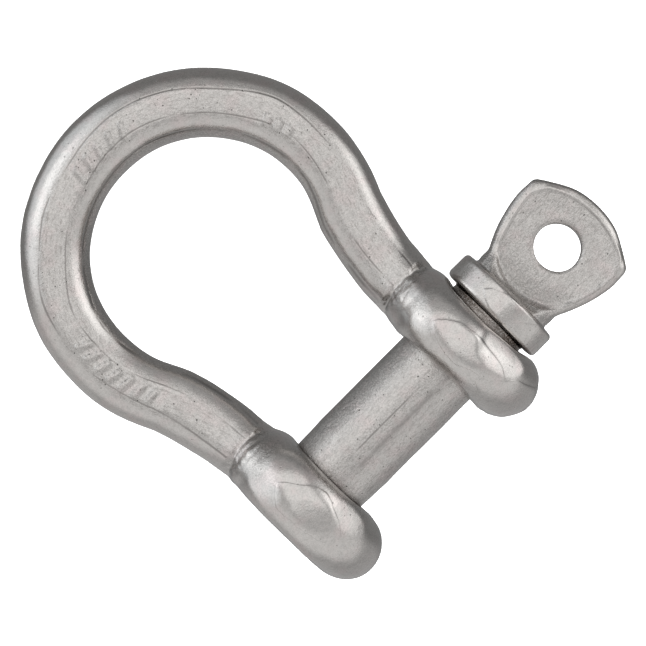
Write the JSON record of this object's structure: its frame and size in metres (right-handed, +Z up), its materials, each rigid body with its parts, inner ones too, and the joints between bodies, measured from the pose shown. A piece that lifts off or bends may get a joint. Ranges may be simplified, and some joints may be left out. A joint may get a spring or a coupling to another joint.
{
  "type": "bow shackle",
  "caption": "Stainless steel bow shackle, lying on a table, with a screw pin that has a collar and a flat eye for a lashing.",
  "frame": {"origin": "on the screw pin's axis, at the middle of the jaw", "axes": "+X along the pin towards its eye, +Y level towards the crown of the bow, +Z up; the bow's plane slopes down 8.3 degrees from the pin to the crown, as it lies on both ears and the crown"},
  "size_m": [0.0445, 0.0471, 0.0168],
  "materials": {
    "cast_stainless": "tumbled satin casting with fine pits",
    "cast_stainless_pin": "tumbled satin casting with fine pits"
  },
  "bodies": {
    "bow": {"bow": "cast_stainless"},
    "pin_carrier": {"pin_core": "cast_stainless_pin"},
    "screw_pin": {"screw_pin": "cast_stainless_pin"}
  },
  "joints": [
    {"name": "pin_travel", "type": "slide", "parent": "bow", "child": "pin_carrier", "axis": [1, 0, 0], "range_m": [-0.00026, 0.0318]},
    {"name": "pin_turn", "type": "hinge", "parent": "pin_carrier", "child": "screw_pin", "pos_m": [0, 0, 0], "axis": [1, 0, 0], "range_deg": [-65, 8100]}
  ],
  "couplings": [
    {"joint": "pin_travel", "follows": "pin_turn", "m_per_rad": 0.00022457}
  ]
}
